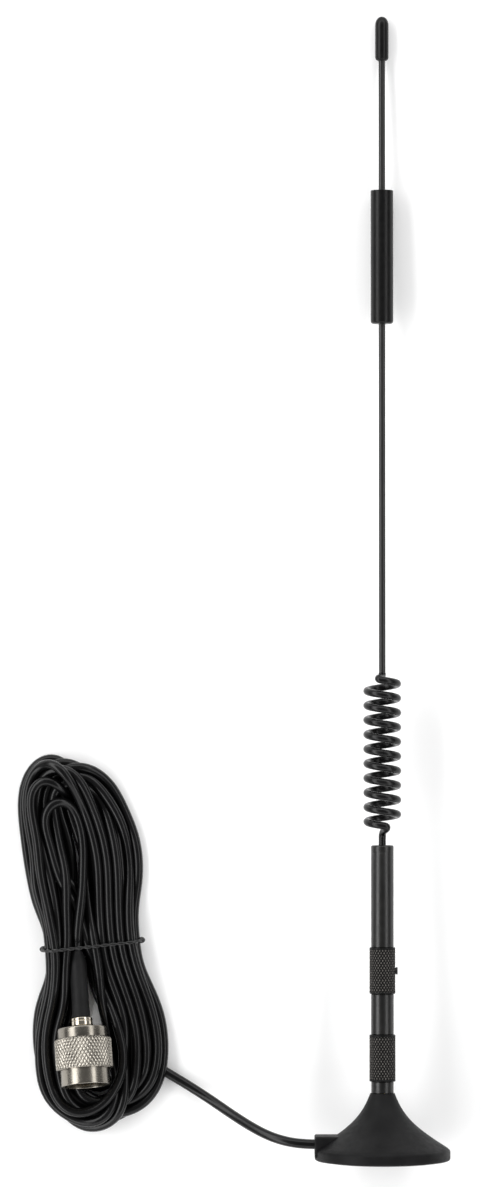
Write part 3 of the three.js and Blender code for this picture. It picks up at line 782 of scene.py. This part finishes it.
stud = lathe("stud", [(0, 0.8), (3.3, 0.8), (3.3, 2.2), (1.6, 2.2), (1.6, 21.2),
                      *dense(2.2, 21.2, 29.6, 0.08), (1.8, 30.0), (0, 30.0)],
             BRASS, relief=thread(21.6, 29.4, 0.8, 0.32, 2.2))
fixed_to(stud, "base", "brass", "mast_stud")


# ---- mast: collars, tubes and set screw ----
COLLAR_ROUNDING = 0.3
COLLAR_GROOVES, COLLAR_PITCH, COLLAR_DEPTH = 26, 1.3, 0.26


def knurled_collar(name, radius, low, high, before, after):
    """A collar with a diamond knurl; its outline goes on inside from after round to before."""
    side = dense(radius, low + 0.34, high - 0.34, 0.085)
    outline = np.vstack([
        capped([before[-1], (radius, low, COLLAR_ROUNDING), side[0]]), side[1:-1],
        capped([side[-1], (radius, high, COLLAR_ROUNDING), after[0]]), *after[1:], *before[:-1]])
    knurl = diamond_knurl(low + COLLAR_ROUNDING, high - COLLAR_ROUNDING, COLLAR_GROOVES, COLLAR_PITCH,
                          COLLAR_DEPTH, radius)
    return lathe(name, outline, COLLAR, around=256, relief=knurl)


lower = knurled_collar("lower_knurl", 3.46, 21.2, 33.6, [(2.3, 30.2), (2.3, 21.2)],
                       [(2.0, 33.6), (2.0, 32.6), (2.55, 32.6), (2.55, 30.4)])
fixed_to(lower, "lower_collar", "collar_black", "lower_collar")
mid = lathe("mid_mast", rounded([(0, 30.3), (1.2, 30.3), (1.2, 31.0), (2.4, 31.0), (2.4, 32.3), (1.85, 32.3),
                                 (1.85, 33.7), (3.02, 33.7, 0.15), (3.02, 44.3, 0.15), (2.35, 44.3),
                                 (2.35, 47.0), (0, 47.0)]), MAST)
fixed_to(mid, "mast_foot", "mast_black", "mid_tube")
upper = knurled_collar("upper_knurl", 3.44, 44.4, 56.7, [(2.45, 44.4)], [(2.45, 56.7)])
screw_frame = LAID @ Matrix.Translation((0, 0, 50.45)) @ Matrix.Rotation(math.pi / 2, 4, "Y")
hole = lathe("hole", [(0, 1.5), (1.06, 1.5), (1.06, 6), (0, 6)], COLLAR, screw_frame, 40)
combined(upper, hole, "DIFFERENCE")
fixed_to(upper, "mast_foot", "collar_black", "upper_collar")
screw = lathe("grub_screw", [*rounded([(0, 3.15), (0.5, 3.15), (0.5, 4.05), (1.0, 4.05, 0.12), (1.0, 3.72)]),
                             *dense(0.98, 3.6, 2.6, 0.05), (0.8, 2.42), (0, 2.42)], SCREW, screw_frame, 48,
              relief=thread(2.5, 3.7, 0.4, 0.16, 0.98))
fixed_to(screw, "set_screw", "screw_steel", "set_screw")

core = lathe("mast_bar", rounded([(0, 47.4), (2.3, 47.4, 0.2), (2.3, 56.5), (2.2, 56.6), (2.2, 82.55),
                                  (1.1, 82.55), (1.1, 77.0), (0, 77.0)]), BRASS)
fixed_to(core, "upper_mast", "brass", "mast_core")
mast = lathe("upper_mast", rounded([(2.35, 56.73), (3.0, 56.73, 0.15), (3.0, 81.7), (2.97, 81.76),
                                    (3.0, 81.82), (3.0, 83.75, 0.5), (1.1, 83.75, 0.1), (1.1, 82.85),
                                    (2.35, 82.85)]), MAST)
fixed_to(mast, "upper_mast", "mast_black", "upper_mast_tube")


# ---- phasing coil, in two halves that meet at its middle ----
COIL_R, COIL_WIRE_R, COIL_TURNS, COIL_OVERRUN = 4.06, 0.98, 10, 0.25
COIL_START, COIL_END, COIL_MIDDLE = 88.85, 127.69, 108.2
LOWER_LEG = [(0, 0, 78), (0, 0, 82), (0, 0, 85.6), (0.1, -0.5, 87.0), (0.6, -1.9, 87.8), (1.0, -3.3, 88.2)]
UPPER_LEG = [(-1.0, -3.3, 128.1), (-0.6, -1.9, 128.15), (-0.2, -0.7, 128.3), (0, -0.1, 128.7), (0, 0, 129.0),
             (0, 0, 129.5)]
share = np.linspace(0, 1, COIL_TURNS * 12 + 1)
turn = COIL_OVERRUN - math.pi / 2 - (TAU * COIL_TURNS + 2 * COIL_OVERRUN) * share
rise = COIL_START + (COIL_END - COIL_START) * share
helix = np.stack([COIL_R * np.cos(turn), COIL_R * np.sin(turn), rise], 1)
coil_line = spline(np.vstack([LOWER_LEG, helix, UPPER_LEG]), 8)
coil_line = even(coil_line, int(length_of(coil_line) / 0.3))
for _ in range(2):
    coil_line[1:-1] = (coil_line[:-2] + 2 * coil_line[1:-1] + coil_line[2:]) / 4
middle = int(np.flatnonzero(coil_line[:, 2] > COIL_MIDDLE)[0])
halves = (("coil_lower", coil_line[:middle + 1], ("upper_mast", "coil"), 89, COIL_MIDDLE - 1.2),
          ("coil_upper", coil_line[middle:], ("coil", "whip"), COIL_MIDDLE + 1.2, 127.5))
for name, line, bodies, start, end in halves:
    half = tube(name, line, COIL_WIRE_R, WIRE, LAID, sides=16)
    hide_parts("phasing_coil")
    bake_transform(half)


# ---- whip ----
TIP_TOP, TIP_LOW, TIP_R = 304.24, 292.4, 1.78
TIP_DOME, TIP_FOOT = 2.3, 1.0    # the heights that the tip cap's two rounded ends take up
rod = lathe("main_whip", rounded([(0, 129.3), (0.88, 129.3, 0.12), (0.88, 229.3, 0.12), (0, 229.3)]), MAST,
            around=40)
fixed_to(rod, "whip", "mast_black", "main_rod")
sleeve = lathe("whip_sleeve", rounded([(1.05, 222.3), (3.0, 222.3, 0.85), (3.0, 257.8, 0.12), (0.92, 257.8),
                                       (0.92, 257.67), (2.45, 257.67), (2.45, 223.2), (1.05, 223.2)]), SLEEVE)
fixed_to(sleeve, "whip", "sleeve_black", "upper_sleeve")
tip_rod = lathe("tip_whip", rounded([(0, 251.1), (0.87, 251.1, 0.12), (0.87, 298.4, 0.12), (0, 298.4)]), MAST,
                around=40)
fixed_to(tip_rod, "whip", "mast_black", "top_rod")
angle = np.linspace(0, math.pi / 2, 14)
dome = np.stack([TIP_R * np.cos(angle), TIP_TOP - TIP_DOME * (1 - np.sin(angle))], 1)
foot = np.stack([0.9 + (TIP_R - 0.9) * np.sin(angle), TIP_LOW + TIP_FOOT * (1 - np.cos(angle))], 1)
tip_outline = np.vstack([[(0, 298.8), (1.0, 298.8)], foot, dome[:-1], [(0, TIP_TOP)]])
tip = lathe("tip_dome", tip_outline, SLEEVE, around=64)
fixed_to(tip, "whip", "sleeve_black", "tip_cap")


# ---- plug ----
boot_outline = rounded([(0, 0.1), (1.42, 0.1, 0.15), (1.95, 1.4, 0.5), (2.34, 3.2, 1.2), (2.30, 14.6, 1.5),
                        (2.40, 16.2, 0.8), (2.40, 17.9, 0.3), (0, 17.9)])
boot = lathe("boot", boot_outline, BOOT, PLUG, 64)
fixed_to(boot, "base", "boot_rubber", "cable_boot")
ferrule = lathe("ferrule", rounded([(0, 18.0), (2.93, 18.0, 0.2), (2.93, 18.7, 0.05), (2.85, 18.8, 0.05),
                                    (2.93, 18.9, 0.05), (2.93, 20.1, 0.2), (0, 20.1)]), NICKEL, PLUG, 72)
fixed_to(ferrule, "base", "nickel", "crimp_ferrule")
plug = lathe("plug_core", rounded([(1.6, 20.4), (4.9, 20.4, 0.25), (4.9, 21.9), (5.9, 22.2), (5.9, 24.7),
                                   (4.6, 24.7), (4.1, 25.3), (4.1, 33.5, 0.2), (3.5, 33.5, 0.15), (3.5, 26.2),
                                   (1.6, 26.2)]), NICKEL, PLUG, 72)
fixed_to(plug, "base", "nickel", "plug_body")

NUT_KNURL = diamond_knurl(23.6, 31.7, 48, 1.64, 0.26, 7.6, flat=0.7)
NUT_THREAD = thread(26.0, 35.2, 1.06, 0.34, 5.55, inward=True)


def nut_relief(radius, height, turn):
    """The nut's knurl outside and its thread inside."""
    outer, crest = NUT_KNURL(radius, height, turn)
    return outer + NUT_THREAD(radius, height, turn)[0], crest


nut_outline = np.vstack([
    capped([(5.2, 21.8), (5.2, 20.6, 0.15), (6.7, 20.6, 0.5), (6.7, 23.5), (7.3, 23.5)]),
    dense(7.6, 23.8, 31.5, 0.13),
    capped([(7.3, 31.8), (6.55, 31.8), (6.55, 36.1, 0.3), (5.55, 36.1, 0.2), (5.55, 35.6)]),
    dense(5.55, 35.4, 25.8, 0.13),
    [(5.55, 25.5), (6.1, 25.5), (6.1, 21.8)]])
nut = lathe("nut", nut_outline, NICKEL_KNURL, PLUG, 288, relief=nut_relief, sharp=50)
fixed_to(nut, "coupling_nut", "nickel", "coupling_nut")
gasket = lathe("seal", rounded([(4.75, 25.0, 0.3), (5.4, 25.0, 0.3), (5.4, 26.2, 0.3), (4.75, 26.2, 0.3)]),
               SEAL, PLUG, 64)
fixed_to(gasket, "base", "gasket_red", "plug_gasket")
insulator = lathe("insulator", rounded([(0.75, 26.5), (3.2, 26.5, 0.2), (3.2, 29.9, 0.2),
                                        (0.75, 29.9, 0.15)]), NYLON, PLUG, 64)
fixed_to(insulator, "base", "nylon_white", "plug_insulator")
pin = lathe("pin", rounded([(0, 26.6), (0.65, 26.6, 0.2), (0.65, 33.6, 0.3), (0.35, 34.5, 0.1), (0, 34.5)]),
            BRASS, PLUG, 40)
fixed_to(pin, "base", "brass", "centre_pin")


# ---- CAD nodes that stay, inside the housings ----
for node, look in (("magnet_ring", FERRITE), ("steel_pot", STEEL), ("stud_insulator", NYLON),
                   ("feed_tab", BRASS), ("coax_tail", PVC), ("sleeve_core", NYLON)):
    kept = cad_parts[node]
    kept.data.materials.clear()
    kept.data.materials.append(look)


# ---- floor and light ----
FLOOR_HALF = 3
LIGHT_DISTANCE, LIGHT_AIM_X = 1.3, -0.04


def studio_floor():
    """A plain pale table."""
    mesh = bpy.data.meshes.new("floor")
    mesh.from_pydata([(x * FLOOR_HALF, y * FLOOR_HALF, 0) for x, y in ((-1, -1), (1, -1), (1, 1), (-1, 1))],
                     [], [(0, 1, 2, 3)])
    look = Look("floor")
    tone = look.ranged(look.noise(3), 0, 1)
    colour = look.mixed(tone, (0.93, 0.93, 0.93), (0.95, 0.95, 0.95))
    mesh.materials.append(look.finish(colour, 0.9, Specular_IOR_Level=0.0))
    floor = bpy.data.objects.new("floor", mesh)
    bpy.context.scene.collection.objects.link(floor)


def softbox(name, azimuth, tilt, width, length, power):
    """A soft light aimed at the middle: tilt is from straight overhead, towards azimuth from +X."""
    data = bpy.data.lights.new(name, "AREA")
    data.shape, data.size, data.size_y, data.energy = "RECTANGLE", width, length, power
    light = bpy.data.objects.new(name, data)
    azimuth, tilt = math.radians(azimuth), math.radians(tilt)
    light.location = (LIGHT_DISTANCE * math.sin(tilt) * math.cos(azimuth) + LIGHT_AIM_X,
                      LIGHT_DISTANCE * math.sin(tilt) * math.sin(azimuth), LIGHT_DISTANCE * math.cos(tilt))
    light.rotation_euler = (0, tilt, azimuth)
    bpy.context.scene.collection.objects.link(light)


studio_floor()
softbox("softbox_left", 180, 50, 0.6, 2.4, 21)
softbox("softbox_right", 0, 44, 0.4, 2.4, 10)
softbox("softbox_top", 90, 60, 0.8, 2.4, 15)
softbox("softbox_bottom", -90, 62, 0.8, 2.4, 10)
world = bpy.data.worlds.new("studio")
world.use_nodes = True
background = world.node_tree.nodes["Background"]
background.inputs["Color"].default_value = (1, 1, 1, 1)
background.inputs["Strength"].default_value = 0.22
bpy.context.scene.world = world
bpy.context.scene.view_settings.view_transform = "Standard"
